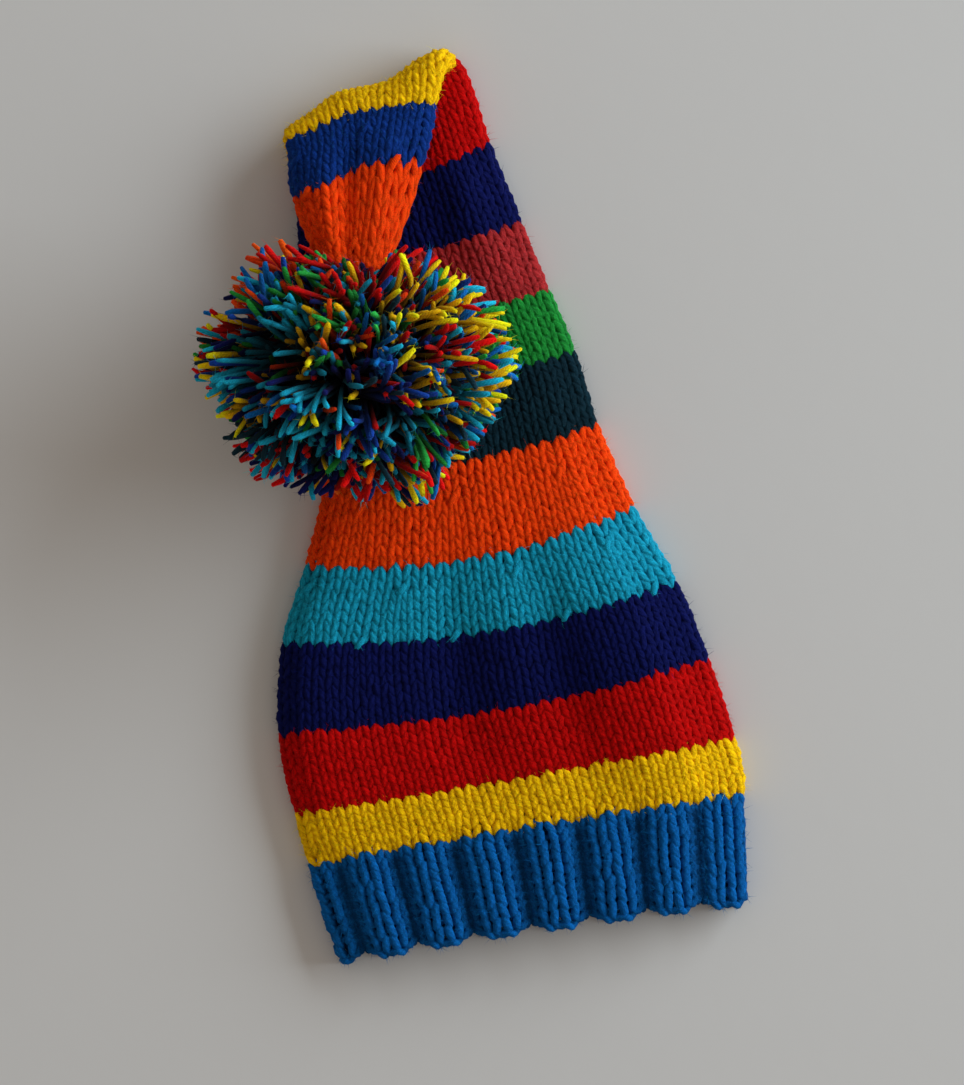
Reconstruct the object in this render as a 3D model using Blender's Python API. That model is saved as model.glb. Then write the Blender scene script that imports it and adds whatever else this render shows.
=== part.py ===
"""Knit pixie hat: a striped stocking hat that lies flat, its tail folded over to the front, with a pompom.

Metres, +Z up. The mouth lies along X, +Y runs from the mouth to the fold, and the floor is Z = 0.
The hat is first laid out flat as one long tube, then everything past the fold line is turned over on to it.
"""

import math
import random

import bmesh
import bpy
from mathutils import Vector

for old in list(bpy.data.objects):
    bpy.data.objects.remove(old)

# Driving sizes, in metres
BRIM_WIDTH = 0.164
HAT_LENGTH = 0.332
WALL = 0.003
EDGE_ROOM = 0.0014
FOLD_ROOM = 0.0011
PUFF = 0.0083
RIB_DEPTH = 0.0009
RIB_SCALLOP = 0.0014
RIB_SHIFT = 0.006
GATHER_DEPTH = 0.0008
POMPOM_WIDTH = 0.124
POMPOM_DEPTH = 0.099
POMPOM_HEIGHT = 0.092
PIECE_GAP = 0.0003

# Counts and angles
RIBS = 15
GATHERS = 8
SEEN_STEPS = 15
HIDDEN_STEPS = 8
EDGE_STEPS = 5
FOLD_ANGLE = math.radians(18.6)
POMPOM_ANGLE = math.radians(-13)
SEED = 7

# The fold's outer line passes here. The x values are shares of BRIM_WIDTH and the y values of HAT_LENGTH.
FOLD_AT = (-0.326, 0.940)
FOLD_ROW = 11.5  # what lies past this row is the tail
FALL, LEFT_FALL = 4, 9  # how steeply the puff ends at the hat's edges, in half widths. The body's left edge lies flat.
POMPOM_AT = (-0.236, 0.659)

# That line swells out and then sags. The wave starts this far from FOLD_AT, is so long and so high, and fades inwards
# over the reach, all as shares of BRIM_WIDTH.
WAVE_START, WAVE_LENGTH, WAVE_HEIGHT, WAVE_REACH = 0.055, 0.31, 0.015, 0.075

# Sizes that follow: half the tube's height at its side edges, the fold's axis height and its middle radius
EDGE = WALL + EDGE_ROOM
FOLD_HEIGHT = 2 * EDGE + FOLD_ROOM
FOLD_RADIUS = FOLD_HEIGHT - EDGE

# One row per colour change: its two ends as seen from above in the folded hat, and whether that is on the tail.
# bow is how far the row dips at its middle, as a share of BRIM_WIDTH, and sway is how much more of that lies to the
# right. puff and lift are shares of PUFF: puff is the extra height at the middle of the upper side, and lift is how
# far the tail rises off the body. gather is a share.
ROWS = (
    # left_x, left_y, right_x, right_y, tail, bow, sway, puff, lift, gather
    (-0.484, 0.004, 0.468, -0.002, 0, -0.010, 0.0, 0.92, 0.0, 0.0),
    (-0.521, 0.115, 0.494, 0.117, 0, -0.008, 0.0, 0.90, 0.0, 0.0),
    (-0.536, 0.174, 0.487, 0.182, 0, 0.006, 0.0, 0.95, 0.0, 0.0),
    (-0.545, 0.266, 0.456, 0.276, 0, 0.033, 0.2, 1.00, 0.0, 0.0),
    (-0.504, 0.367, 0.413, 0.366, 0, 0.046, 0.0, 1.00, 0.0, 0.0),
    (-0.424, 0.450, 0.342, 0.458, 0, 0.052, 0.0, 0.98, 0.0, 0.0),
    (-0.348, 0.541, 0.290, 0.556, 0, 0.022, 0.0, 0.88, 0.0, 0.0),
    (-0.309, 0.622, 0.264, 0.642, 0, 0.015, 0.0, 0.65, 0.0, 0.0),
    (-0.313, 0.694, 0.227, 0.716, 0, 0.014, 0.0, 0.50, 0.0, 0.0),
    (-0.330, 0.773, 0.190, 0.796, 0, 0.013, 0.0, 0.30, 0.0, 0.0),
    (-0.315, 0.848, 0.145, 0.890, 0, 0.018, 0.0, 0.10, 0.0, 0.0),
    (-0.312, 0.896, 0.096, 1.000, 0, 0.012, 0.0, 0.00, 0.0, 0.0),
    (-0.321, 0.924, 0.039, 0.944, 1, 0.021, 1.1, 0.20, 0.0, 0.0),
    (-0.321, 0.865, -0.012, 0.877, 1, 0.023, 1.2, 0.60, 0.1, 0.2),
    (-0.291, 0.800, -0.121, 0.773, 1, 0.000, 0.0, 0.60, 0.4, 0.8),
    (-0.262, 0.743, -0.169, 0.734, 1, 0.000, 0.0, 0.10, 0.6, 1.0),
)

# Swells and dents of the upper side. row and rows are where along ROWS and how far, across and reach are shares of
# the half width, and height is a share of PUFF.
DENTS = (
    # row, rows, across, reach, height
    (3.3, 2.6, -0.86, 0.18, 0.28),
    (3.3, 2.5, -0.26, 0.38, -0.38),
    (3.6, 1.2, 0.34, 0.12, -0.12),
    (2.9, 2.8, 0.73, 0.33, 0.66),
    (0.2, 0.8, -0.80, 0.25, 0.20),
    (6.4, 1.2, 0.40, 0.30, -0.18),
    (9.3, 1.3, 0.60, 0.22, 0.50),
    (13.3, 0.9, -0.50, 0.22, 0.24),
    (13.2, 1.0, 0.12, 0.17, -0.30),
    (13.4, 1.0, 0.50, 0.20, 0.30),
)

# The bands: name, first row, last row, cross-sections and colour
BANDS = (
    ("rib_band", 0, 1, 5, (0.010, 0.135, 0.370)),
    ("yellow_stripe_low", 1, 2, 4, (0.800, 0.520, 0.010)),
    ("red_stripe_low", 2, 3, 4, (0.480, 0.008, 0.008)),
    ("navy_stripe_low", 3, 4, 4, (0.010, 0.008, 0.120)),
    ("turquoise_stripe", 4, 5, 4, (0.020, 0.370, 0.520)),
    ("orange_stripe_low", 5, 6, 4, (0.800, 0.090, 0.010)),
    ("pine_stripe", 6, 7, 4, (0.004, 0.026, 0.032)),
    ("green_stripe", 7, 8, 4, (0.020, 0.300, 0.055)),
    ("rose_stripe", 8, 9, 4, (0.370, 0.045, 0.070)),
    ("navy_stripe_high", 9, 10, 4, (0.010, 0.008, 0.120)),
    ("red_stripe_high", 10, 11, 6, (0.480, 0.008, 0.008)),
    ("yellow_stripe_high", 11, 12, 8, (0.800, 0.520, 0.010)),
    ("blue_stripe", 12, 13, 5, (0.008, 0.060, 0.270)),
    ("orange_tip", 13, 15, 8, (0.800, 0.090, 0.010)),
)

ALONG = Vector((math.cos(FOLD_ANGLE), math.sin(FOLD_ANGLE), 0))
PAST = Vector((-math.sin(FOLD_ANGLE), math.cos(FOLD_ANGLE), 0))
FOLD_AXIS = Vector((FOLD_AT[0] * BRIM_WIDTH, FOLD_AT[1] * HAT_LENGTH, 0)) - FOLD_HEIGHT * PAST


def laid_out(x, y, tail):
    """The place in the flat, unfolded hat of a point seen from above at these shares of the sizes."""
    seen = Vector((x * BRIM_WIDTH, y * HAT_LENGTH, 0)) - FOLD_AXIS
    past = seen.dot(PAST)
    if past > 0:
        past = FOLD_RADIUS * math.asin(min(past / FOLD_HEIGHT, 1))
    if tail:
        past = math.pi * FOLD_RADIUS - past
    return FOLD_AXIS + seen.dot(ALONG) * ALONG + past * PAST


LEFTS = [laid_out(row[0], row[1], row[4]) for row in ROWS]
RIGHTS = [laid_out(row[2], row[3], row[4]) for row in ROWS]
BOWS, SWAYS, PUFFS, LIFTS, GATHERED = ([row[column] for row in ROWS] for column in (5, 6, 7, 8, 9))


def smooth(values, row):
    """A smooth curve through one value per row (Catmull-Rom), running straight on past its ends."""
    first = min(max(math.floor(row), 0), len(values) - 2)
    part = row - first
    b, c = values[first], values[first + 1]
    a = values[first - 1] if first > 0 else 2 * b - c
    d = values[first + 2] if first + 2 < len(values) else 2 * c - b
    if part < 0 or part > 1:
        return b + (c - b) * part
    return b + 0.5 * part * (c - a + part * (2 * a - 5 * b + 4 * c - d + part * (3 * (b - c) + d - a)))


def upper_shape(row, across):
    """Height that puff and dents add to the upper side, at this share of the half width."""
    height = max(smooth(PUFFS, row), 0) * (1 - min(abs(across), 1) ** 3)
    for at, rows, where, reach, share in DENTS:
        height += share * math.exp(-(((row - at) / rows) ** 2) * 2 - ((across - where) / reach) ** 2)
    fall = LEFT_FALL if across < 0 and row < FOLD_ROW else FALL
    return PUFF * height * min(1, fall * (1 - min(abs(across), 1)))


def fold(point, lift):
    """Turns what lies past the fold's axis over on to the body, and gives the fold's outer line its wave."""
    out = (point - FOLD_AXIS).dot(PAST)
    if out > 0:
        turn = min(out / FOLD_RADIUS, math.pi)
        radius = FOLD_HEIGHT - point.z + lift
        reach = radius * math.sin(turn) - max(out - math.pi * FOLD_RADIUS, 0)
        point = point + (reach - out) * PAST + Vector((0, 0, FOLD_HEIGHT - radius * math.cos(turn) - point.z))
    seen = (point - FOLD_AXIS) / BRIM_WIDTH
    turn = math.pi * min(max((seen.dot(ALONG) - WAVE_START) / WAVE_LENGTH, 0), 1)
    near = math.exp(-(((seen.dot(PAST) - FOLD_HEIGHT / BRIM_WIDTH) / WAVE_REACH) ** 2))
    return point + WAVE_HEIGHT * BRIM_WIDTH * math.sin(2 * turn) * math.sin(turn) * near * PAST


def skin(row, station, depth):
    """A point of the fabric. station runs 0-1 under the hat, 1-2 round its right edge, 2-3 over it, 3-4 round its left."""
    left, right = smooth(LEFTS, row), smooth(RIGHTS, row)
    half = (right - left).length / 2
    side = (right - left) / (2 * half)
    run, part = divmod(station % 4, 1)
    bend = EDGE - depth
    if run == 0:
        across, height, upper = (2 * part - 1) * (half - EDGE), depth, 0.0
    elif run == 2:
        across, height, upper = (1 - 2 * part) * (half - EDGE), 2 * EDGE - depth, 1.0
    else:
        turn = math.pi * part
        over = -math.cos(turn) if run == 1 else math.cos(turn)
        out = half - EDGE + bend * math.sin(turn)
        across, height, upper = (out if run == 1 else -out), EDGE + bend * over, (1 + over) / 2
    share = across / half
    bow = smooth(BOWS, row) * BRIM_WIDTH * (1 - min(abs(share), 1) ** 2) * (1 + smooth(SWAYS, row) * share)
    if row > FOLD_ROW:
        height -= upper_shape(row, -share) * (1 - upper)
    else:
        height += upper_shape(row, share) * upper
    ahead = Vector((-side.y, side.x, 0))
    middle = (left + right) / 2
    return fold(middle + across * side - bow * ahead + Vector((0, 0, height)), PUFF * max(smooth(LIFTS, row), 0))


def ring(row, stations, depths, shifts):
    """One cross-section. Each point is moved along the fabric by its shift, in metres, whatever the band's stretch."""
    points = []
    for station, depth, shift in zip(stations, depths, shifts):
        stretch = (skin(row + 0.01, station, depth) - skin(row - 0.01, station, depth)).length / 0.02
        points.append(skin(row + shift / stretch, station, depth))
    return points


def plain_stations(row, tail):
    """Most points lie on the side that is seen in the end, which is the tail's under side until it is turned over."""
    under, over = (SEEN_STEPS, HIDDEN_STEPS) if tail else (HIDDEN_STEPS, SEEN_STEPS)
    stations = []
    for run, steps in enumerate((under, EDGE_STEPS, over, EDGE_STEPS)):
        stations += [run + i / steps for i in range(steps)]
    return stations


def rib_stations(row, tail):
    """Four points a rib, evenly spaced round the band. One rib's middle lies RIB_SHIFT right of the upper side's middle."""
    wall = (smooth(RIGHTS, row) - smooth(LEFTS, row)).length - 2 * EDGE
    edge = math.pi * EDGE
    stations = []
    for i in range(4 * RIBS):
        along = (i + 0.5) / (4 * RIBS) * (2 * wall + 2 * edge) + wall / 2 - RIB_SHIFT
        along %= 2 * wall + 2 * edge
        run = 0
        for length in (wall, edge, wall, edge):
            if along < length:
                break
            along -= length
            run += 1
        stations.append(run + along / length)
    return stations


def relief(name, row, count):
    """How deep each point of a ring lies under the fabric's outer face: the purl columns, or the tip's gathers."""
    if name == "rib_band":
        return [RIB_DEPTH * (i % 4 not in (1, 2)) for i in range(count)]
    gather = GATHER_DEPTH * min(max(smooth(GATHERED, row), 0), 1) if row > 12 else 0
    return [gather * (0.5 - 0.5 * math.cos(2 * math.pi * GATHERS * i / count)) for i in range(count)]


def new_material(name, colour):
    material = bpy.data.materials.new(name)
    material.use_nodes = True
    shader = material.node_tree.nodes["Principled BSDF"]
    shader.inputs["Base Color"].default_value = (*colour, 1)
    shader.inputs["Roughness"].default_value = 0.9
    return material


def new_object(name, mesh, colour):
    bmesh.ops.recalc_face_normals(mesh, faces=mesh.faces)
    if mesh.calc_volume(signed=True) < 0:
        bmesh.ops.reverse_faces(mesh, faces=mesh.faces)
    data = bpy.data.meshes.new(name)
    mesh.to_mesh(data)
    mesh.free()
    data.materials.append(new_material(name, colour))
    made = bpy.data.objects.new(name, data)
    bpy.context.scene.collection.objects.link(made)
    return made


def close(mesh, loop):
    """A cap over a ring, as a fan from its middle."""
    middle = mesh.verts.new(sum((v.co for v in loop), Vector()) / len(loop))
    for a, b in zip(loop, loop[1:] + loop[:1]):
        mesh.faces.new((middle, a, b))


def bridge(mesh, first, second):
    for i in range(len(first)):
        j = (i + 1) % len(first)
        mesh.faces.new((first[i], first[j], second[j], second[i]))


def band(name, start, end, rings, colour):
    """One colour of the tube: an outer and an inner skin, joined at both ends. The tip is closed at its far end."""
    mesh = bmesh.new()
    is_tip = end == len(ROWS) - 1
    stations_of = rib_stations if name == "rib_band" else plain_stations
    skins = []
    for thickness in (0, WALL):
        loops = []
        for number in range(rings):
            row = start + (end - start) * number / (rings - 1)
            stations = stations_of(row, start > 11)
            deep = relief(name, row, len(stations))
            shifts = [0.0] * len(stations)
            if number == 0:
                shifts = [PIECE_GAP / 2] * len(stations)
            if number == rings - 1:
                shifts = [-WALL if is_tip and thickness else -PIECE_GAP / 2] * len(stations)
            if name == "rib_band" and number == 0:
                shifts = [-RIB_SCALLOP * (depth == 0) for depth in deep]
            points = ring(row, stations, [thickness + depth for depth in deep], shifts)
            loops.append([mesh.verts.new(point) for point in points])
        for first, second in zip(loops, loops[1:]):
            bridge(mesh, first, second)
        skins.append(loops)
    outer, inner = skins
    bridge(mesh, outer[0], inner[0])
    if is_tip:
        close(mesh, outer[-1])
        close(mesh, inner[-1])
    else:
        bridge(mesh, outer[-1], inner[-1])
    return new_object(name, mesh, colour)


def support(points, place, reach):
    """Height of the hat under this place, taken as the highest point of it within reach."""
    near = [p.z for p in points if (p.x - place.x) ** 2 + (p.y - place.y) ** 2 < reach * reach]
    return max(near) + PIECE_GAP if near else 0.0


def pompom(hat):
    """A ball of locks: each face of a round head is drawn out into a lock, and what would enter the hat is pressed."""
    rng = random.Random(SEED)
    sizes = Vector((POMPOM_WIDTH, POMPOM_DEPTH, POMPOM_HEIGHT)) / 2
    centre = Vector((POMPOM_AT[0] * BRIM_WIDTH, POMPOM_AT[1] * HAT_LENGTH, 0))
    points = [v.co for part in hat for v in part.data.vertices]
    reach = 0.1 * POMPOM_DEPTH
    centre.z = support(points, centre, reach) + 0.80 * sizes.z
    mesh = bmesh.new()
    bmesh.ops.create_icosphere(mesh, subdivisions=3, radius=1)
    head = {vert: 0.66 for vert in mesh.verts}
    locks = bmesh.ops.extrude_discrete_faces(mesh, faces=mesh.faces[:])["faces"]
    tips = {}
    for lock in locks:
        middle = lock.calc_center_median()
        length = rng.uniform(0.9, 1.0)
        lean = Vector([rng.uniform(-0.05, 0.05) for _ in range(3)])
        for vert in lock.verts:
            tips[vert] = (middle + (vert.co - middle) * 0.6 + lean).normalized() * length
    for vert in mesh.verts:
        share = 1.0 if vert in tips else 0.8
        ray = tips[vert] if vert in tips else vert.co * head.get(vert, 0.66)
        ray = Vector((ray.x * sizes.x, ray.y * sizes.y, ray.z * sizes.z))
        turned = Vector(
            (
                ray.x * math.cos(POMPOM_ANGLE) - ray.y * math.sin(POMPOM_ANGLE),
                ray.x * math.sin(POMPOM_ANGLE) + ray.y * math.cos(POMPOM_ANGLE),
                ray.z,
            )
        )
        part = 1.0
        while part > 0.05 and (centre + turned * part / share).z < support(points, centre + turned * part, reach):
            part -= 0.02
        vert.co = centre + turned * part
    return new_object("pompom", mesh, (0.060, 0.110, 0.190))


hat = [band(*row) for row in BANDS]
parts = [*hat, pompom(hat)]

# The origin is the middle of the hat's box, on the floor
corners = [vert.co for part in parts for vert in part.data.vertices]
low = Vector([min(c[i] for c in corners) for i in range(3)])
high = Vector([max(c[i] for c in corners) for i in range(3)])
origin = Vector(((low.x + high.x) / 2, (low.y + high.y) / 2, low.z))
for part in parts:
    for vert in part.data.vertices:
        vert.co -= origin
print("size in mm", [round(1000 * v, 1) for v in high - low], "origin", [round(1000 * v, 2) for v in origin])
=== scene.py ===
# %% [markdown]
# # A knit pixie hat, lying flat
# The real hat is one long tube of worsted acrylic yarn, knit in rounds from the ribbed brim up and striped in
# ten colours. Its narrow tail is folded over to the front, and a pompom of cut yarn hangs from the tip.
# The CAD frame holds the hat as smooth hollow rings. This lesson replaces each ring with real knitted loops,
# and the pompom with three thousand cut strands.

import math

import bpy
import numpy as np
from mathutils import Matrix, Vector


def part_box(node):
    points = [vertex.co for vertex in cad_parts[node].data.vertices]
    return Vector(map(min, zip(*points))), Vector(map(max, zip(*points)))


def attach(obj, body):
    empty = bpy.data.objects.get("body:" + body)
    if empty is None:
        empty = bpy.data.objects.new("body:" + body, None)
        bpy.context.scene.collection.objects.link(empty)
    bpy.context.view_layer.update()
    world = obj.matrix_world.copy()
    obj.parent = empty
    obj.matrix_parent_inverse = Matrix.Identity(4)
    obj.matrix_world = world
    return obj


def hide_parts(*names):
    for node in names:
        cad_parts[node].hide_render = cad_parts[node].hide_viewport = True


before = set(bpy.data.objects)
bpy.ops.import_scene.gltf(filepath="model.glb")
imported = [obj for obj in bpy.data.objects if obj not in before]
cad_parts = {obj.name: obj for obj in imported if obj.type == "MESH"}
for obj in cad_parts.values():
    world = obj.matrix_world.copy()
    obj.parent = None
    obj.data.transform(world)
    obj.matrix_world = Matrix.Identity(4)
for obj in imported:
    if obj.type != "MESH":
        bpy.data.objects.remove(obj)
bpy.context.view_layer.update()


def in_mm(metres):
    """Metres as a list of millimetres, to print."""
    return [round(1000 * float(v), 1) for v in metres]


# %% [markdown]
# ## The photograph's view
# The camera looked straight down at a hat that lay turned nine degrees. A long lens far away shows that best,
# because then the tall pompom isn't drawn larger than the flat knitting beside it.

# %% Camera
VIEW_HEIGHT = 0.4069  # metres of the hat's level that the frame's long side covers
VIEW_TURN = math.radians(-9)
VIEW_CENTRE = (0.0056, -0.0177, 0.012)
CAMERA_DISTANCE = 3.0

bpy.ops.object.select_all(action="DESELECT")
bpy.ops.object.camera_add(
    location=(VIEW_CENTRE[0], VIEW_CENTRE[1], VIEW_CENTRE[2] + CAMERA_DISTANCE), rotation=(0, 0, VIEW_TURN)
)
camera = bpy.context.object
camera.data.lens = camera.data.sensor_width * CAMERA_DISTANCE / VIEW_HEIGHT
camera.data.clip_end = 20
bpy.context.scene.camera = camera
bpy.context.scene.view_settings.view_transform = "Standard"
print("lens in mm", round(camera.data.lens, 1))

# %% [markdown]
# ## Materials
# Every material is named for what it is, and its colour starts as a screen colour. Screens store colours on a
# curve, and light adds up on a straight line, so one function turns the one into the other. A second one adds
# a node, with its settings and its links, and that is all the help that the node trees below need.


# %% Two helpers for materials
def linear(screen):
    """An sRGB hex colour as linear red, green, blue and alpha."""
    parts = [int(screen[i : i + 2], 16) / 255 for i in (1, 3, 5)]
    return tuple(c / 12.92 if c <= 0.04045 else ((c + 0.055) / 1.055) ** 2.4 for c in parts) + (1.0,)


def add_node(tree, kind, settings=None, links=None):
    """A new node. settings go on the node or, by number or name, on its sockets, and links into sockets."""
    node = tree.nodes.new(kind)
    for key, value in (settings or {}).items():
        if isinstance(key, int) or key in node.inputs:
            node.inputs[key].default_value = value
        else:
            setattr(node, key, value)
    for key, source in (links or {}).items():
        tree.links.new(source, node.inputs[key])
    return node


# %% [markdown]
# Worsted acrylic yarn is four soft plies twisted together. The eye sees slanting ridges along each strand,
# fibres that run with them, fine fuzz, and places where the colour is lighter or deeper. Ridges and fibres
# follow the strand's UV map, where U runs along the yarn and V round it, so they stay on it wherever the
# stitch bends. The fuzz is far finer than the picture's pixels, so it is drawn at 0.5 mm to show at all.

# %% The yarn's patterns
PLIES = 4
FUZZ = 0.0005  # metres between the bumps of the fuzz
MOTTLE = 0.004  # metres between lighter and darker places
FIBRES_ALONG = (6, 0, 0)  # fibres that follow one another along one copy of the UV map
FIBRES_ROUND = (9, 17, 0)  # and that lie side by side round it, leaning with the twist
FIBRE_CHANGE = 30.0  # how fast their pattern changes from place to place, so that no two stitches look alike


def patterns(tree, twists):
    """The nodes of the ridges, mottle, fuzz and fibres. twists is how many times a ply turns round the strand
    along one copy of its UV map."""
    place = add_node(tree, "ShaderNodeTexCoord")
    ridges = (2 * math.pi * PLIES * twists, 2 * math.pi * PLIES, 0)
    turn, along, around = (
        add_node(tree, "ShaderNodeVectorMath", {"operation": "DOT_PRODUCT", 1: run}, {0: place.outputs["UV"]})
        for run in (ridges, FIBRES_ALONG, FIBRES_ROUND)
    )
    ridge = add_node(tree, "ShaderNodeMath", {"operation": "SINE"}, {0: turn.outputs["Value"]})
    mottle, fuzz = (
        add_node(
            tree,
            "ShaderNodeTexNoise",
            {"Scale": 1 / size, "Detail": 3.0, "Roughness": roughness},
            {"Vector": place.outputs["Object"]},
        )
        for size, roughness in ((MOTTLE, 0.5), (FUZZ, 0.7))
    )
    lie = add_node(
        tree, "ShaderNodeCombineXYZ", links={0: along.outputs["Value"], 1: around.outputs["Value"]}
    )
    differ = {"operation": "MULTIPLY", 1: FIBRE_CHANGE}
    change = add_node(tree, "ShaderNodeMath", differ, {0: mottle.outputs[0]})
    fibres = add_node(
        tree,
        "ShaderNodeTexNoise",
        {"noise_dimensions": "4D", "Scale": 1.0, "Detail": 2.0, "Roughness": 0.6},
        {"Vector": lie.outputs[0], "W": change.outputs[0]},
    )
    return ridge, mottle, fuzz, fibres


# %% [markdown]
# The patterns make the yarn lighter and darker, and raise it a little for the bump. Light also goes a short
# way through the loose fibres, which softens every shadow, and a faint sheen is left of their gloss. The
# colour itself is stored in the mesh, because shade is painted into it deep between the loops, and each
# strand of the pompom has its own.

# %% Yarn
LIGHTEN = {"From Min": 1.2, "From Max": 2.2, "To Min": 0.5, "To Max": 1.5}  # the patterns' sum, made a factor
FIBRE_BUMP = {"Strength": 0.6, "Distance": 0.0009}
YARN_FINISH = {
    "Roughness": 0.9,
    "IOR": 1.49,
    "Specular IOR Level": 0.08,
    "Sheen Weight": 0.12,
    "Sheen Roughness": 0.6,
    "Subsurface Weight": 0.25,
    "Subsurface Radius": (1.0, 1.0, 1.0),
    "Subsurface Scale": 0.0012,  # metres
}


def added_up(tree, shares):
    """A node for the sum of other nodes' values, each times its share."""
    links = {}
    for share, part in shares:
        links[0] = part.outputs[0]
        total = add_node(tree, "ShaderNodeMath", {"operation": "MULTIPLY_ADD", 1: share, 2: 0.0}, links)
        links[2] = total.outputs[0]
    return total


def yarn(name, sheen, twists):
    """Worsted acrylic yarn. The mesh holds its colour, and sheen is the colour of its sheen alone."""
    material = bpy.data.materials.new(name)
    material.use_nodes = True
    tree = material.node_tree
    ridge, mottle, fuzz, fibres = patterns(tree, twists)
    light = added_up(tree, ((0.10, ridge), (0.8, mottle), (1.2, fuzz), (1.4, fibres)))
    value = add_node(tree, "ShaderNodeMapRange", LIGHTEN, {0: light.outputs[0]})
    painted = add_node(tree, "ShaderNodeAttribute", {"attribute_name": "shade"})
    tinted = add_node(
        tree, "ShaderNodeHueSaturation", links={"Color": painted.outputs["Color"], "Value": value.outputs[0]}
    )
    height = added_up(tree, ((0.15, ridge), (1.0, fuzz), (1.0, fibres)))
    bump = add_node(tree, "ShaderNodeBump", FIBRE_BUMP, {"Height": height.outputs[0]})
    shader = tree.nodes["Principled BSDF"]
    tree.links.new(tinted.outputs[0], shader.inputs["Base Color"])
    tree.links.new(bump.outputs[0], shader.inputs["Normal"])
    for socket, setting in YARN_FINISH.items():
        shader.inputs[socket].default_value = setting
    shader.inputs["Sheen Tint"].default_value = linear(sheen)
    return material


YARNS = {
    "blue": "#05599E",
    "yellow": "#FFC305",
    "red": "#C00504",
    "navy": "#08104C",
    "turquoise": "#139ABA",
    "orange": "#FF4406",
    "pine": "#0B2631",
    "green": "#1C8632",
    "rose": "#AA2A2C",
    "royal blue": "#0A317D",
}
STITCH_TWISTS, CUT_TWISTS = 3, 6  # how often a ply turns along a stitch, and along a strand of the pompom
yarns = {name: yarn(f"worsted acrylic yarn, {name}", YARNS[name], STITCH_TWISTS) for name in YARNS}
print(len(yarns), "yarns")

# %% [markdown]
# ## The hat's shape
# Knitting is a flat fabric that can be laid out as one long tube. Its outline is read off the photograph at
# each change of colour, in the same rows as in the CAD source. A row has two ends, each as shares of the
# brim's width and the hat's length, and says whether it lies on the tail (1) or the body (0). Its bow is how
# far its middle hangs below the line between its ends, and sway moves that to the right. Puff and lift are
# how far it bulges, and lies off what is under it, as shares of PUFF.
# The dents are the soft hills and hollows that the light shows. Each has its middle row and how many rows it
# reaches, its place and reach across from -1 to 1, and its height as a share of PUFF. In two of them the upper
# side lies 2 mm deeper than in the CAD source, and the left end of the tail's first row is 3 mm nearer to the
# fold, as the photograph shows them.

# %% Sizes in metres
BRIM_WIDTH = 0.164
HAT_LENGTH = 0.332
WALL = 0.003
HALF_ROOM = 0.0014  # half of what stays open between the hat's upper and under side
EDGE = WALL + HALF_ROOM  # radius of the hat's round side edges
TAIL_ROOM = 0.0011  # half of the gap between the body and the tail on it
FOLD_HEIGHT = 2 * EDGE + TAIL_ROOM
FOLD_RADIUS = FOLD_HEIGHT - EDGE
PUFF = 0.0083
FALL, LEFT_FALL = 4, 9  # the puff ends in the last 1/4 of the half width, and in 1/9 at the body's left edge
FOLD_ROW = 11.5  # what lies past this row is the tail
FOLD_ANGLE = math.radians(18.6)
FOLD_AT = (-0.326 * BRIM_WIDTH, 0.940 * HAT_LENGTH)
WAVE_START, WAVE_LENGTH, WAVE_HEIGHT, WAVE_REACH = 0.055, 0.31, 0.015, 0.075  # shares of BRIM_WIDTH
ORIGIN = np.array((-0.00814, 0.16565, 0))  # the middle of the hat's box, seen from the middle of its mouth

# %% Rows and dents
ROWS = np.array(
    (
        # left x, left y, right x, right y, tail, bow, sway, puff, lift
        (-0.484, 0.004, 0.468, -0.002, 0, -0.010, 0.0, 0.92, 0.0),
        (-0.521, 0.115, 0.494, 0.117, 0, -0.008, 0.0, 0.90, 0.0),
        (-0.536, 0.174, 0.487, 0.182, 0, 0.006, 0.0, 0.95, 0.0),
        (-0.545, 0.266, 0.456, 0.276, 0, 0.033, 0.2, 1.00, 0.0),
        (-0.504, 0.367, 0.413, 0.366, 0, 0.046, 0.0, 1.00, 0.0),
        (-0.424, 0.450, 0.342, 0.458, 0, 0.052, 0.0, 0.98, 0.0),
        (-0.348, 0.541, 0.290, 0.556, 0, 0.022, 0.0, 0.88, 0.0),
        (-0.309, 0.622, 0.264, 0.642, 0, 0.015, 0.0, 0.65, 0.0),
        (-0.313, 0.694, 0.227, 0.716, 0, 0.014, 0.0, 0.50, 0.0),
        (-0.330, 0.773, 0.190, 0.796, 0, 0.013, 0.0, 0.30, 0.0),
        (-0.315, 0.848, 0.145, 0.890, 0, 0.018, 0.0, 0.10, 0.0),
        (-0.312, 0.896, 0.096, 1.000, 0, 0.012, 0.0, 0.00, 0.0),
        (-0.321, 0.932, 0.039, 0.944, 1, 0.019, 1.1, 0.20, 0.0),
        (-0.321, 0.865, -0.012, 0.877, 1, 0.023, 1.2, 0.60, 0.1),
        (-0.291, 0.800, -0.121, 0.773, 1, 0.000, 0.0, 0.60, 0.4),
        (-0.262, 0.743, -0.169, 0.734, 1, 0.000, 0.0, 0.10, 0.6),
    )
)
BOWS, SWAYS, PUFFS, LIFTS = ROWS[:, 5:9].T
DENTS = (
    # row, rows, across, reach, height
    (3.3, 2.6, -0.86, 0.18, 0.28),
    (3.3, 2.5, -0.26, 0.38, -0.38),
    (3.6, 1.7, -0.14, 0.13, -0.26),
    (3.2, 2.2, 0.34, 0.13, -0.36),
    (2.9, 2.8, 0.73, 0.33, 0.66),
    (0.2, 0.8, -0.80, 0.25, 0.20),
    (6.4, 1.2, 0.40, 0.30, -0.18),
    (9.3, 1.3, 0.60, 0.22, 0.50),
    (13.3, 0.9, -0.50, 0.22, 0.24),
    (13.2, 1.0, 0.12, 0.17, -0.30),
    (13.4, 1.0, 0.50, 0.20, 0.30),
)


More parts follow.
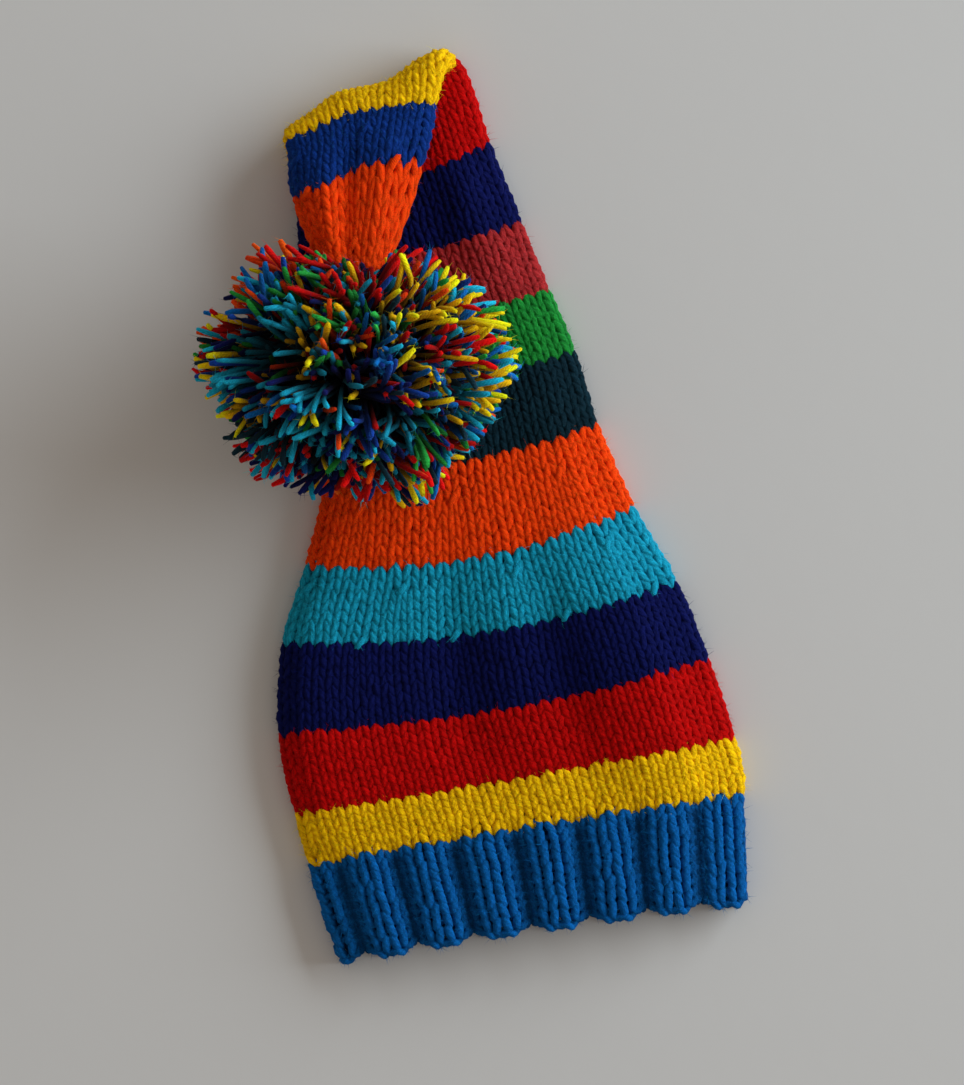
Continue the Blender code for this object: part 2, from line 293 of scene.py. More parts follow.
def smooth(values, row):
    """A smooth curve through one value per row (Catmull-Rom), running straight on past its ends."""
    first = np.clip(np.floor(row), 0, len(values) - 2).astype(int)
    part, inner, outer = row - first, first > 0, first + 2 < len(values)
    if values.ndim > 1:
        part, inner, outer = part[..., None], inner[..., None], outer[..., None]
    b, c = values[first], values[first + 1]
    a = np.where(inner, values[first - 1], 2 * b - c)
    d = np.where(outer, values[np.minimum(first + 2, len(values) - 1)], 2 * c - b)
    curve = b + 0.5 * part * (c - a + part * (2 * a - 5 * b + 4 * c - d + part * (3 * (b - c) + d - a)))
    return np.where((part < 0) | (part > 1), b + (c - b) * part, curve)


def upper_shape(row, across):
    """Height that puff and dents add to the upper side, at this share of the half width."""
    near = np.minimum(np.abs(across), 1)
    height = np.maximum(smooth(PUFFS, row), 0) * (1 - near**3)
    for at, rows, where, reach, share in DENTS:
        height = height + share * np.exp(-(((row - at) / rows) ** 2) * 2 - ((across - where) / reach) ** 2)
    fall = np.where((across < 0) & (row < FOLD_ROW), LEFT_FALL, FALL)
    return PUFF * height * np.minimum(1, fall * (1 - near))


bulge = upper_shape(np.arange(len(ROWS)), np.zeros(len(ROWS)))
print("the middle of the upper side bulges, row by row in mm", in_mm(bulge))

# %% [markdown]
# The tail is turned over along a slanting axis. What the photograph shows of it is first laid back flat, so
# that the whole tube is one shape, and fold() then turns it over again as one piece of fabric. The outer line
# of the fold isn't quite straight, and a small wave along it shows that.

# %% Lay out the tube, and fold it
ALONG = np.array((math.cos(FOLD_ANGLE), math.sin(FOLD_ANGLE), 0))
PAST = np.array((-math.sin(FOLD_ANGLE), math.cos(FOLD_ANGLE), 0))
FOLD_AXIS = np.array((*FOLD_AT, 0)) - FOLD_HEIGHT * PAST


def laid_out(x, y, tail):
    """The place in the flat, unfolded hat of a point seen from above."""
    seen = np.array((x * BRIM_WIDTH, y * HAT_LENGTH, 0)) - FOLD_AXIS
    past = seen @ PAST
    if past > 0:
        past = FOLD_RADIUS * math.asin(min(past / FOLD_HEIGHT, 1))
    if tail:
        past = math.pi * FOLD_RADIUS - past
    return FOLD_AXIS + (seen @ ALONG) * ALONG + past * PAST


def fold(points, lift):
    """Turns what lies past the fold's axis over on to the body, and gives the fold's outer line its wave."""
    out = (points - FOLD_AXIS) @ PAST
    turn = np.clip(out / FOLD_RADIUS, 0, math.pi)
    radius = FOLD_HEIGHT - points[..., 2] + lift
    reach = radius * np.sin(turn) - np.maximum(out - math.pi * FOLD_RADIUS, 0)
    turned = points + (reach - out)[..., None] * PAST
    turned[..., 2] = FOLD_HEIGHT - radius * np.cos(turn)
    points = np.where((out > 0)[..., None], turned, points)
    seen = (points - FOLD_AXIS) / BRIM_WIDTH
    turn = math.pi * np.clip((seen @ ALONG - WAVE_START) / WAVE_LENGTH, 0, 1)
    near = np.exp(-(((seen @ PAST - FOLD_HEIGHT / BRIM_WIDTH) / WAVE_REACH) ** 2))
    return points + (WAVE_HEIGHT * BRIM_WIDTH * np.sin(2 * turn) * np.sin(turn) * near)[..., None] * PAST


LEFTS = np.array([laid_out(row[0], row[1], row[4]) for row in ROWS])
RIGHTS = np.array([laid_out(row[2], row[3], row[4]) for row in ROWS])
print("laid out, the hat is", in_mm([LEFTS[-1][1] - LEFTS[0][1]]), "mm long")

# %% [markdown]
# skin() gives the place of any point of the fabric: how far up the hat, how far round it, and how deep under
# its outer face. It works on whole arrays of points at once, because the stitches have some sixty thousand.


# %% The skin
def unit(v):
    return v / np.linalg.norm(v, axis=-1, keepdims=True)


def girth(row):
    """(length of one flat wall, length of one round edge) of the tube at this row, midway into the fabric."""
    width = np.linalg.norm(smooth(RIGHTS, row) - smooth(LEFTS, row), axis=-1)
    return width - 2 * EDGE, math.pi * (EDGE - WALL / 2)


def skin(row, share, depth):
    """A point of the fabric. share runs once round: 0 is the middle of the under side, 0.25 is near the right
    edge, and 0.5 is the middle of the upper side."""
    left, right = smooth(LEFTS, row), smooth(RIGHTS, row)
    wall, edge = girth(row)
    half = wall / 2 + EDGE
    side = (right - left) / (2 * half)[..., None]
    share = share % 1
    along = np.minimum(share, 1 - share) * 2 * (wall + edge)
    turn = np.clip((along - wall / 2) / edge, 0, 1) * math.pi
    flat = np.where(along < wall / 2, along, np.minimum(wall / 2, wall + edge - along))
    across = np.where(share < 0.5, 1, -1) * (flat + (EDGE - depth) * np.sin(turn))
    height = EDGE - (EDGE - depth) * np.cos(turn)
    upper = (1 - np.cos(turn)) / 2
    place = across / half
    on_tail, on_body = -upper_shape(row, -place) * (1 - upper), upper_shape(row, place) * upper
    shape = np.where(row > FOLD_ROW, on_tail, on_body)
    bow = smooth(BOWS, row) * BRIM_WIDTH * (1 - np.minimum(np.abs(place), 1) ** 2)
    bow = bow * (1 + smooth(SWAYS, row) * place)
    ahead = np.stack((-side[..., 1], side[..., 0], np.zeros_like(bow)), axis=-1)
    points = (left + right) / 2 + across[..., None] * side - bow[..., None] * ahead
    points[..., 2] += height + shape
    return fold(points, PUFF * np.maximum(smooth(LIFTS, row), 0)) - ORIGIN


def inward(row, share, depth, bit=0.0001):
    """The direction into the fabric there."""
    return unit(skin(row, share, depth + bit) - skin(row, share, depth - bit))


ring = skin(np.full(200, 3.5), np.linspace(0, 1, 200), np.zeros(200))
navy_low, navy_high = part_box("navy_stripe_low")
print("navy stripe's middle in mm", in_mm((*ring.min(0), *ring.max(0))))
print("and its CAD ring", in_mm((*navy_low, *navy_high)))

# %% [markdown]
# ## One stitch
# A knitted stitch is a loop of yarn: it comes in at the back, rises through the loop below it as a leg, turns
# over as the head, and goes down again as the second leg. The two legs are the V that one sees. The loop
# could be sculpted, but a formula that textbooks on knitting give draws it well: three sines, one across, one
# up and one for the depth. It is made as a curve with a round bevel, which is then turned into a mesh, so
# that it gets a UV map along the yarn.

# %% The loop's formula
STITCH = 0.0057  # metres from one stitch to the next
ROUND = 0.0039  # metres from one round to the next
YARN = 0.0029  # the strand's diameter
LOOP_LEAN = 0.235  # how far the legs lean, as a share of STITCH
RIB_LEAN = 0.16  # and in the ribbing, whose wide columns pull them upright
LOOP_REACH = 1.02  # how far a loop reaches up and down from its middle, in rounds
LOOP_DEPTH = 0.0008  # how far legs and heads lie in front of and behind the fabric's middle
LOOP_SWELL = 0.16  # how much thicker the strand is in the legs, and thinner in the heads, than on average
STEPS = 12  # straight parts of one loop
SIDES = 6  # faces round the strand

turns = np.linspace(0, 2 * math.pi, STEPS + 1)
LOOP_UP = -LOOP_REACH * np.cos(turns)
LOOP_IN = LOOP_DEPTH * np.cos(2 * turns)
LOOP_ROUND = YARN / 2 * (1 - LOOP_SWELL * np.cos(2 * turns))


def loop_across(lean):
    return turns / (2 * math.pi) + lean * np.sin(2 * turns)


# %% Model the stitch once
def only(obj):
    bpy.ops.object.select_all(action="DESELECT")
    obj.select_set(True)
    bpy.context.view_layer.objects.active = obj


def strand(name, points, radii):
    """A tube of yarn through these points, open at both ends, as a mesh with U along it and V round it."""
    bpy.ops.object.select_all(action="DESELECT")
    bpy.ops.curve.primitive_bezier_curve_add()
    made = bpy.context.object
    made.name = name
    made.data.splines.clear()
    line = made.data.splines.new("POLY")
    line.points.add(len(points) - 1)
    for point, place, radius in zip(line.points, points, radii):
        point.co = (*place, 1)
        point.radius = radius / YARN * 2
    made.data.twist_mode = "Z_UP"
    made.data.bevel_depth = YARN / 2
    made.data.bevel_resolution = (SIDES - 4) // 2
    bpy.ops.object.convert(target="MESH")
    return bpy.context.object


loop = np.stack((loop_across(LOOP_LEAN) * STITCH, LOOP_UP * ROUND, LOOP_IN), axis=-1)
stitch = strand("stitch", loop, LOOP_ROUND)
print("one stitch has", len(stitch.data.polygons), "faces")

# %% [markdown]
# ## The pattern
# A knitter writes down how many rounds each colour has and how many stitches a round has. The brim is a rib
# of two knit and two purl stitches. Further up, decrease rounds knit some pairs of stitches together.

# %% Rounds and decreases
STRIPES = (
    # name, first row, last row, rounds, yarn
    ("rib_band", 0, 1, 9, "blue"),
    ("yellow_stripe_low", 1, 2, 6, "yellow"),
    ("red_stripe_low", 2, 3, 8, "red"),
    ("navy_stripe_low", 3, 4, 8, "navy"),
    ("turquoise_stripe", 4, 5, 7, "turquoise"),
    ("orange_stripe_low", 5, 6, 8, "orange"),
    ("pine_stripe", 6, 7, 7, "pine"),
    ("green_stripe", 7, 8, 6, "green"),
    ("rose_stripe", 8, 9, 7, "rose"),
    ("navy_stripe_high", 9, 10, 7, "navy"),
    ("red_stripe_high", 10, 11, 8, "red"),
    ("yellow_stripe_high", 11, 12, 7, "yellow"),
    ("blue_stripe", 12, 13, 6, "royal blue"),
    ("orange_tip", 13, 15, 10, "orange"),
)
CAST_ON = 60  # stitches round the brim
CAST_ON_ROOM = 0.8  # rounds of the brim that the cast-on edge takes up
DECREASES = (
    # stripe, round, stitches knit together, where one of them is round the hat
    ("turquoise_stripe", 0, 8, 0.523),
    ("turquoise_stripe", 5, 7, 0.586),
    ("orange_stripe_low", 5, 6, 0.511),
    ("pine_stripe", 4, 4, 0.45),
    ("rose_stripe", 3, 3, 0.55),
    ("red_stripe_high", 1, 3, 0.50),
    ("yellow_stripe_high", 2, 4, 0.05),
    ("blue_stripe", 2, 4, 0.0),
    ("orange_tip", 0, 3, 0.1),
    ("orange_tip", 4, 4, 0.0),
    ("orange_tip", 7, 4, 0.06),
)

rows, steps, stripe_of = [], [], []
for number, (name, first, last, count, shade) in enumerate(STRIPES):
    room = CAST_ON_ROOM if number == 0 else 0
    step = (last - first) / (count + room)
    rows += [first + (i + room + 0.5) * step for i in range(count)]
    steps += [step] * count
    stripe_of += [number] * count
rows, steps = np.array(rows), np.array(steps)
names = [stripe[0] for stripe in STRIPES]
print(len(rows), "rounds")

# %% [markdown]
# Where two stitches become one, the columns close in over the rounds before it and after it, most of all near
# it. Each pair leaves a short slanting stitch that stands out, and its place is kept for later.

# %% The middles of the stitches
RIB_SHIFT = 0.0057  # metres that a knit rib's middle lies right of the upper side's middle
SETTLE = 2.5  # rounds over which columns close in

wall, edge = girth(np.array(0.5))
shift = 0.5 - RIB_SHIFT / (2 * (wall + edge)) - 1 / CAST_ON
centres, slants = [], []
stitches, leading = CAST_ON, np.zeros(CAST_ON)
for stripe, number, pairs, where in (*DECREASES, (None, 0, 0, 0)):
    start = len(centres)
    end = len(rows) if stripe is None else stripe_of.index(names.index(stripe)) + number
    even = shift + (np.arange(stitches) + 0.5) / stitches
    closing = np.zeros(stitches)
    if stripe is not None:
        wanted = (where + np.arange(pairs) / pairs - shift) % 1
        joined = np.sort(np.minimum((wanted * stitches).astype(int), stitches - 2))
        above = np.arange(stitches) - (np.arange(stitches)[:, None] > joined).sum(1)
        fewer = (above + 0.5) / (stitches - pairs)
        shift = shift + np.mean((np.arange(stitches) + 0.5) / stitches - fewer)
        closing = shift + fewer - even
    for i in range(start, end):
        after, before = np.exp(-(i - start) / SETTLE), np.exp(-(end - 1 - i) / SETTLE)
        centres.append(even - 0.5 * leading * after + 0.5 * closing * before)
    if stripe is not None:
        slants += [(end, centres[-1][j : j + 2].mean()) for j in joined]
        leading = np.array([closing[above == i].mean() for i in range(stitches - pairs)])
        stitches = stitches - pairs
print(len(slants), "pairs knit together")

# %% [markdown]
# In the ribbing two knit columns stand up and take most of the width, and two purl ones sink behind them.
# Above it the columns even out within a few rounds. All columns are a little wider at the middle of a side,
# where the fabric isn't pulled round an edge.

# %% The borders between the columns
RIB_ROUNDS = 8  # the last round of the brim's yarn is plain
RIB_KNIT = 0.352  # a knit column's share of the four columns of one rib and one valley
EVEN_AT, EVENS_OUT = 11, 4  # the round where all columns are even, and how many rounds that takes
FRONT = 0.06  # how much wider columns are at the middle of a side than on average

edges = []
for number, centre in enumerate(centres):
    full = np.append(centre, centre[0] + 1)
    line = (full[1:] + full[:-1]) / 2
    line = np.concatenate(([line[-1] - 1], line))
    if number < EVEN_AT:
        middle = line[np.arange(1, CAST_ON, 4)]
        knit_part, purl_part = RIB_KNIT * 4 / CAST_ON, (0.5 - RIB_KNIT) * 4 / CAST_ON
        valley = middle + knit_part + purl_part
        ribbed = np.stack((middle - knit_part, middle, middle + knit_part, valley), axis=-1).ravel()
        ribbed = np.append(ribbed, ribbed[0] + 1)
        line = line + (ribbed - line) * min(1, (EVEN_AT - number) / EVENS_OUT)
    edges.append(line)
for number, name in enumerate(names):
    first = stripe_of.index(number)
    wall, edge = girth(rows[first])
    print(f"{name}: {len(centres[first])} stitches of {2000 * (wall + edge) / len(centres[first]):.2f} mm")


def widened(share, front=FRONT):
    """Places round the hat, with columns in the middle of a side this much wider."""
    return share + front * np.sin(4 * math.pi * share) / (4 * math.pi)


# %% [markdown]
# ## Knit a swatch and wrap it on to the hat
# Two Array modifiers turn the one stitch into a flat swatch: so many stitches across, so many rounds up.
# Bending it with a lattice would squash the yarn where the hat narrows. So each ring of the tube moves
# instead: its middle goes to the place that skin() gives, and its points are set round it, square to the run
# of the yarn. The strand keeps its thickness everywhere, and what lies on the floor is pressed flat.


# %% Make the swatch
def repeat(obj, count, offset):
    """Turns the active object into a row of copies of itself."""
    bpy.ops.object.modifier_add(type="ARRAY")
    array = obj.modifiers[-1]
    array.count = count
    array.use_relative_offset = False
    array.use_constant_offset = True
    array.constant_offset_displace = offset
    bpy.ops.object.modifier_apply(modifier=array.name)


def swatch(wales, rounds):
    """A flat piece of knitting, from copies of the one stitch."""
    only(stitch)
    bpy.ops.object.duplicate()
    cloth = bpy.context.object
    repeat(cloth, wales, (STITCH, 0, 0))
    repeat(cloth, rounds, (0, ROUND, 0))
    return cloth


# %% [markdown]
# Hand knitting is never quite even: each stitch sits a little off its place, and the yarn is a little lumpy.
# The yarn also looks darker the deeper it lies between the loops, because light hardly gets there.

# %% Lay one round
RIB_RISE = 0.0014  # metres that a rib stands out
RIB_SINK = 0.0026  # and that a valley lies deeper
RIB_TURN = 0.3  # columns over which knit turns into purl
RIB_FADE = 2  # rounds over which the relief ends above the ribbing
RIB_SCALLOP = 0.05  # rows, which is 1.9 mm, that the brim's edge reaches further down at a rib
UNEVEN = (0.07, 0.10, 0.00020)  # how far stitches are off: across in stitches, up in rounds, and in depth
LUMPS = 0.045  # how uneven the yarn is, as a share of its radius
MIDDLE = 0.0017  # metres from the hat's outer face to the fabric's middle
DEEPEST = 0.0041  # nothing goes deeper than this, because the other side's fabric starts there
FLOOR_ROOM = 0.0002  # metres that the yarn stays above the floor
PRESSED = 0.6  # radii that a strand's middle keeps above the floor
# GROOVES is painted shade and light: the yarn is painted darker deep between the loops, lighter on the crests.
GROOVES = (  # depths in the fabric, and how light the yarn looks there
    (-0.0019, -0.0005, 0.0016, 0.0035),
    (1.13, 1.03, 0.64, 0.30),
)
SEED = 7
chance = np.random.default_rng(SEED)


def ribbing(number, columns):
    """(side, relief) of each place. side is 1 on knit columns and -1 on purl ones, and relief runs smoothly
    from a rib's middle, at 1, to a valley's middle, at -1. Above the ribbing all is knit and flat."""
    away = (columns - 1) % 4
    away = np.minimum(away, 4 - away)
    fade = np.clip((RIB_ROUNDS + 1.5 - number) / RIB_FADE, 0, 1)
    side = -np.clip((away - 1) / RIB_TURN, -1, 1) if number < RIB_ROUNDS else np.ones_like(away)
    return side, fade * np.cos(math.pi / 2 * away)


def run_of(number, across, up, deep, unevenness):
    """(row, share, depth) of a round's strands. across counts its columns, up its rounds, and deep metres."""
    line = edges[number]
    wales = len(line) - 1
    columns = np.arange(wales)[:, None] + across
    jolt = chance.normal(size=(3, wales, 1)) * unevenness * (1 - np.cos(turns[: len(across)])) / 2
    columns = columns + jolt[0] * UNEVEN[0]
    borders = np.concatenate((line[-3:-1] - 1, line, line[1:3] + 1))
    share = widened(np.interp(columns, np.arange(-2, wales + 3), borders))
    side, relief = ribbing(number, columns)
    row = rows[number] + steps[number] * (up + jolt[1] * UNEVEN[1])
    row = row - RIB_SCALLOP * relief * math.exp(-number / 2)
    stands_out = np.where(relief > 0, RIB_RISE, RIB_SINK) * relief
    depth = MIDDLE + deep * side - stands_out + jolt[2] * UNEVEN[2]
    return row, share, np.minimum(depth, DEEPEST)


def lay(number, across, up, deep, radii, unevenness):
    """The points of a round's strands on the hat, and how light the yarn looks at each."""
    row, share, depth = run_of(number, across, up, deep, unevenness)
    middle = skin(row, share, depth)
    middle[..., 2] = np.maximum(middle[..., 2], FLOOR_ROOM + PRESSED * radii)
    into = inward(row, share, depth)
    flat = middle.reshape(-1, 3)
    run = unit(np.roll(flat, -1, axis=0) - np.roll(flat, 1, axis=0)).reshape(middle.shape)
    into = unit(into - (into * run).sum(-1, keepdims=True) * run)
    beside = np.cross(run, into)
    angle = 2 * math.pi * np.arange(SIDES) / SIDES
    cos, sin = np.cos(angle), np.sin(angle)
    round_it = cos[:, None] * into[..., None, :] + sin[:, None] * beside[..., None, :]
    lumpy = radii[:, None, None] * chance.normal(1, LUMPS, (*middle.shape[:2], SIDES, 1))
    rings = middle[..., None, :] + lumpy * round_it
    deepness = depth[..., None] + lumpy[..., 0] * cos
    # A stitch's strand ends where the next one's starts.
    rings, deepness = (
        np.concatenate((part, np.roll(part, -1, axis=0)[:, :1]), axis=1) for part in (rings, deepness)
    )
    rings[..., 2] = np.maximum(rings[..., 2], FLOOR_ROOM)
    return rings.reshape(-1, 3), np.interp(deepness, *GROOVES).ravel()


# %% Small helpers for meshes
NEAR = 0.000002  # metres. Points nearer to each other than this are one point.


def move_points(obj, points):
    obj.data.vertices.foreach_set("co", np.asarray(points, np.float32).ravel())
    obj.data.update()


def read(values, what, width):
    """One property of every element of a mesh's list, as an array."""
    found = np.empty(len(values) * width, np.float32)
    values.foreach_get(what, found)
    return found.reshape(-1, width)


def paint(obj, colours, lightness):
    """Stores the yarn's colour at each point, made lighter or darker, for the material to read."""
    shaded = np.ones((len(obj.data.vertices), 4))
    shaded[:, :3] = np.clip(np.asarray(colours)[..., :3] * np.reshape(lightness, (-1, 1)), 0, 1)
    layer = obj.data.color_attributes.new(name="shade", type="FLOAT_COLOR", domain="POINT")
    layer.data.foreach_set("color", shaded.astype(np.float32).ravel())


def face_out(obj, merge=False):
    """Points the faces outwards, after merging the points that touch if asked to."""
    only(obj)
    bpy.ops.object.mode_set(mode="EDIT")
    bpy.ops.mesh.select_all(action="SELECT")
    if merge:
        bpy.ops.mesh.remove_doubles(threshold=NEAR)
    bpy.ops.mesh.normals_make_consistent(inside=False)
    bpy.ops.object.mode_set(mode="OBJECT")


def joined_up(parts):
    bpy.ops.object.select_all(action="DESELECT")
    for part in parts:
        part.select_set(True)
    bpy.context.view_layer.objects.active = parts[0]
    bpy.ops.object.join()
    return bpy.context.object


# %% Knit
RIB_YARN = 1.08  # how much thicker the strand swells where the ribbing gives it room
TUCK = 0.0011  # metres that the feet of a stripe's first round lie deeper, behind the colour before


def knit(first, last, colour):
    """The rounds from first up to last, which have the same number of stitches."""
    cloth = swatch(len(edges[first]) - 1, last - first)
    layers = []  # the points of each round, and how light they look
    for number in range(first, last):
        across = loop_across(RIB_LEAN if number < RIB_ROUNDS else LOOP_LEAN)
        radii = LOOP_ROUND * (RIB_YARN if number < RIB_ROUNDS else 1)
        new_colour = number > 0 and stripe_of[number] != stripe_of[number - 1]
        deep = LOOP_IN + (TUCK * ((1 + np.cos(turns)) / 2) ** 2 if new_colour else 0)
        layers.append(lay(number, across[:-1], LOOP_UP[:-1], deep[:-1], radii[:-1], 1.0))
    move_points(cloth, np.concatenate([points for points, lightness in layers]))
    paint(cloth, colour, np.concatenate([lightness for points, lightness in layers]))
    return cloth


# %% [markdown]
# Behind the loops a real fabric is filled with fuzz and with the heads of the next loops, and no light comes
# through. A thin lining in the same yarn closes each stripe there, painted darker than its yarn as painted
# shade under the loops in front of it. It is a grid, bent on to the hat like the swatch, and in the ribbing it
# lies deeper and rises into the ribs.

# %% The lining
LINING = 0.0021  # metres under the outer face
RIB_LINING = 0.0036  # and in the ribbing, under its valleys
LINING_STEP = (0.72, 0.88)  # the rows between which it comes up from the one to the other
LINING_START, BRIM_START = 0.002, 0.1  # rows that it keeps from a stripe's borders, and from the brim's edge
LINING_GRID, RIB_GRID = (72, 5), (150, 16)  # cells round the hat and up it
LINING_THICK = 0.0006
LINING_LIGHT = 0.38  # how light it looks beside the loops in front of it


def lining(number):
    name, first, last, count, shade = STRIPES[number]
    ribbed = number == 0
    around, up = RIB_GRID if ribbed else LINING_GRID
    bpy.ops.object.select_all(action="DESELECT")
    bpy.ops.mesh.primitive_grid_add(x_subdivisions=around, y_subdivisions=up, size=2)
    made = bpy.context.object
    flat = np.array([v.co[:] for v in made.data.vertices])
    share = (flat[:, 0] + 1) / 2
    row = first + (last - first) * (flat[:, 1] + 1) / 2
    row = np.clip(row, first + (BRIM_START if ribbed else LINING_START), last - LINING_START)
    depth = np.interp(row, LINING_STEP, (RIB_LINING, LINING))
    if ribbed:
        line = edges[0]
        even = (widened(share, -FRONT) - line[0]) % 1 + line[0]
        columns = np.interp(even, line, np.arange(len(line)))
        rise = np.interp(row, LINING_STEP, (RIB_RISE, 0))
        depth = depth - rise * np.maximum(ribbing(0, columns)[1], 0)
    points = skin(row, share, depth)
    points[:, 2] = np.maximum(points[:, 2], FLOOR_ROOM + LINING_THICK)
    move_points(made, points)
    # Its colour is the yarn's, darkened by LINING_LIGHT as painted shade under the loops in front of it.
    paint(made, linear(YARNS[shade]), LINING_LIGHT)
    face_out(made, merge=True)
    bpy.ops.object.shade_smooth()
    bpy.ops.object.modifier_add(type="SOLIDIFY")
    made.modifiers[-1].thickness = LINING_THICK
    made.modifiers[-1].offset = 0
    bpy.ops.object.modifier_apply(modifier=made.modifiers[-1].name)
    return made


# %% [markdown]
# The cast-on edge is a strand that winds once round every stitch's foot. A decrease is a leg that lies across
# its neighbour, so it is one short strand with both ends tucked in, modelled at its place.

# %% Cast-on edge and decrease stitches
WIND_IN, WIND_UP, WIND_ALONG = 0.0007, 0.22, 0.12  # how far the edge winds: metres, rounds and stitches
WIND_ROUND = 0.9  # its thickness beside a stitch's
SLANT_LEAN, SLANT_UP = 0.30, 0.6  # columns and rounds that a slanting stitch reaches from its middle
SLANT_AT = -0.35  # rounds from the decrease up to that middle
SLANT_OUT, SLANT_TUCK = 0.0007, 0.0012  # metres that the middle stands out and the ends go in
SLANT_ROUND, SLANT_TAPER = 0.95, 0.45  # its thickness, and how much less it is at the ends


def cast_on():
    cloth = swatch(CAST_ON, 1)
    turn = turns[:-1]
    across, up = turn / (2 * math.pi) + WIND_ALONG * np.sin(turn), -LOOP_REACH + WIND_UP * np.cos(turn)
    points, lightness = lay(0, across, up, WIND_IN * np.sin(turn), LOOP_ROUND[:-1] * WIND_ROUND, 0.5)
    move_points(cloth, points)
    paint(cloth, linear(YARNS[STRIPES[0][4]]), lightness)
    return cloth


def slanting(number, share, colour):
    """One short strand that leans over a decrease, seen from outside from lower left to upper right."""
    parts = np.linspace(-1, 1, 9)
    wale = 1 / (len(edges[number]) - 1)
    share = widened(share - parts * wale * SLANT_LEAN)
    row = rows[number] + steps[number] * (SLANT_AT + SLANT_UP * parts)
    depth = MIDDLE - LOOP_DEPTH - SLANT_OUT * (1 - parts**4) + SLANT_TUCK * parts**4
    points = skin(row, share, depth)
    points[:, 2] = np.maximum(points[:, 2], FLOOR_ROOM + YARN / 2)
    leaning = strand("slanting_stitch", points, YARN / 2 * (SLANT_ROUND - SLANT_TAPER * parts**4))
    paint(leaning, colour, GROOVES[1][1])
    return leaning


# %% [markdown]
# Acrylic yarn is fuzzy: loose fibres stand out of it everywhere, and blur every edge a little. Each is a
# needle with four faces that starts on a point of the yarn and leans over it. An Array modifier makes as many
# as a piece needs.

# %% Loose fibres
APART = 3  # metres between copies, before each gets its own place, so that none touch
HAIR_RADIUS = 0.00009
HAIR_LENGTHS = (0.0018, 0.0042)
HAIR_ROOT = 0.0002  # metres that they start inside the yarn
HAIR_RISE, HAIR_STRAY = 0.5, 0.8  # how much they stand up, and how much they lean any way
# The fibres are painted lighter than their yarn, as a painted sheen where they catch the light.
HAIR_LIGHT, HAIR_TONES = 1.7, 0.15  # how light they look beside their yarn, and how much that differs


def copies(obj, count):
    """Turns the active object into that many copies of itself, and returns the first one's points."""
    shape = read(obj.data.vertices, "co", 3)
    repeat(obj, count, (APART, 0, 0))
    return shape


def hairs(piece, outer, count):
    """So many loose fibres, each starting on one of the outer points."""
    places = read(piece.data.vertices, "co", 3)
    normals = read(piece.data.vertex_normals, "vector", 3)
    colours = read(piece.data.color_attributes["shade"].data, "color", 4)
    chosen = chance.choice(outer, count)
    bpy.ops.object.select_all(action="DESELECT")
    bpy.ops.mesh.primitive_cone_add(vertices=3, radius1=1, radius2=0, depth=1, location=(0, 0, 0.5))
    bpy.ops.object.transform_apply()
    made = bpy.context.object
    shape = copies(made, count)
    stray = unit(chance.normal(size=(count, 3)))
    run = unit(HAIR_RISE * normals[chosen] + stray * HAIR_STRAY)[:, None]
    beside = unit(np.cross(run, chance.normal(size=run.shape)))
    length = chance.uniform(*HAIR_LENGTHS, (count, 1, 1))
    points = places[chosen][:, None] + run * (shape[:, 2:] * length - HAIR_ROOT)
    points = points + HAIR_RADIUS * (shape[:, :1] * beside + shape[:, 1:2] * np.cross(run, beside))
    points[..., 2] = np.maximum(points[..., 2], FLOOR_ROOM / 2)
    move_points(made, points.reshape(-1, 3))
    lightness = np.repeat(chance.normal(HAIR_LIGHT, HAIR_TONES, count), len(shape))
    paint(made, np.repeat(colours[chosen], len(shape), axis=0), lightness)
    face_out(made)
    return made


# %% [markdown]
# ## Knit the hat
# Each stripe is one piece: its rounds, its lining and its decreases, joined, with the yarn of that colour. It
# takes the place of the CAD ring of the same name and rides on the same body.

# %% Knit every stripe
HAIRS = 0.085  # loose fibres for each point of a stripe's yarn
IN_FRONT = 0.7  # how light a point looks where fibres start, as a share of the yarn's own colour


def dress(piece, node, material, outer, count):
    """Adds the loose fibres, gives the piece its yarn, and puts it in its CAD node's place."""
    piece = joined_up([piece, hairs(piece, outer, count)])
    piece.data.materials.clear()
    piece.data.materials.append(material)
    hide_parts(node)
    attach(piece, "root")
    print(piece.name, sum(len(p.vertices) - 2 for p in piece.data.polygons), "triangles")


for number, (name, first, last, count, shade) in enumerate(STRIPES):
    start = stripe_of.index(number)
    end = start + count
    cuts = [n for n in range(start + 1, end) if len(edges[n]) != len(edges[n - 1])]
    colour = linear(YARNS[shade])
    parts = [knit(a, b, colour) for a, b in zip([start, *cuts], [*cuts, end])]
    parts.append(lining(number))
    if number == 0:
        parts.append(cast_on())
    parts += [slanting(at, share, colour) for at, share in slants if start <= at < end]
    piece = joined_up(parts)
    piece.name = f"knit_{name}"
    face_out(piece, merge=True)
    bpy.ops.object.shade_smooth()
    lightest = read(piece.data.color_attributes["shade"].data, "color", 4)[:, :3].max(1)
    outer = np.flatnonzero(lightest > IN_FRONT * max(colour[:3]))
    dress(piece, name, yarns[shade], outer, int(HAIRS * len(lightest)))
bpy.data.objects.remove(stitch)

# %% [markdown]
# ## The pompom
# A pompom is yarn wound in a thick hank, tied in the middle and cut. Hair particles would be quicker, but
# they don't become a solid thing, so one strand is modelled from a cylinder and copied three thousand times,
# each copy bent along its own path. A few cuts across let it bend, and its UV map is turned to run along the
# yarn.

# %% Model one cut strand
STRANDS = 3000
STRAND_SIDES = 5
CUTS = (0.4, 0.72, 0.93)  # shares of its length

